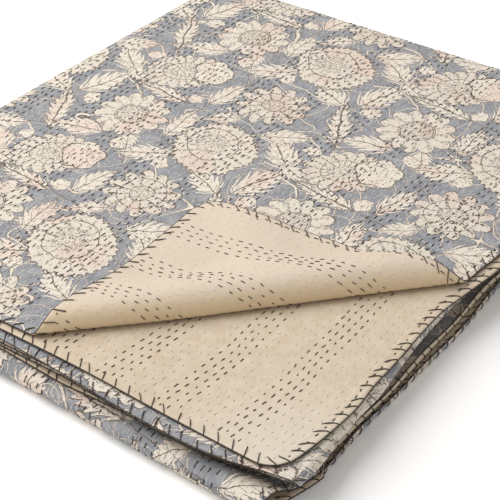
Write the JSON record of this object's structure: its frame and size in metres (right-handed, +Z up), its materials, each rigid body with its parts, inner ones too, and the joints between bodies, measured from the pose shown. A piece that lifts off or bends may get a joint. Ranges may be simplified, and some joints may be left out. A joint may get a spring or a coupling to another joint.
{
  "type": "folded kantha quilt",
  "caption": "Thin hand-quilted throw folded into a flat rectangular pile, with one corner of the top layer turned back over its plain reverse.",
  "frame": {"origin": "centre of the pile's bounding box, on the surface it rests on", "axes": "+Z up; -Y towards the side with the free edges over one fat roll; +X towards the side where the turned corner starts"},
  "size_m": [0.5232, 0.5977, 0.0558],
  "materials": {
    "printed_cotton": "matte block-printed cotton, blue-grey and cream",
    "plain_cotton": "matte plain cream cotton"
  },
  "bodies": {
    "root": {"printed_face": "printed_cotton", "plain_back": "plain_cotton"}
  },
  "joints": []
}
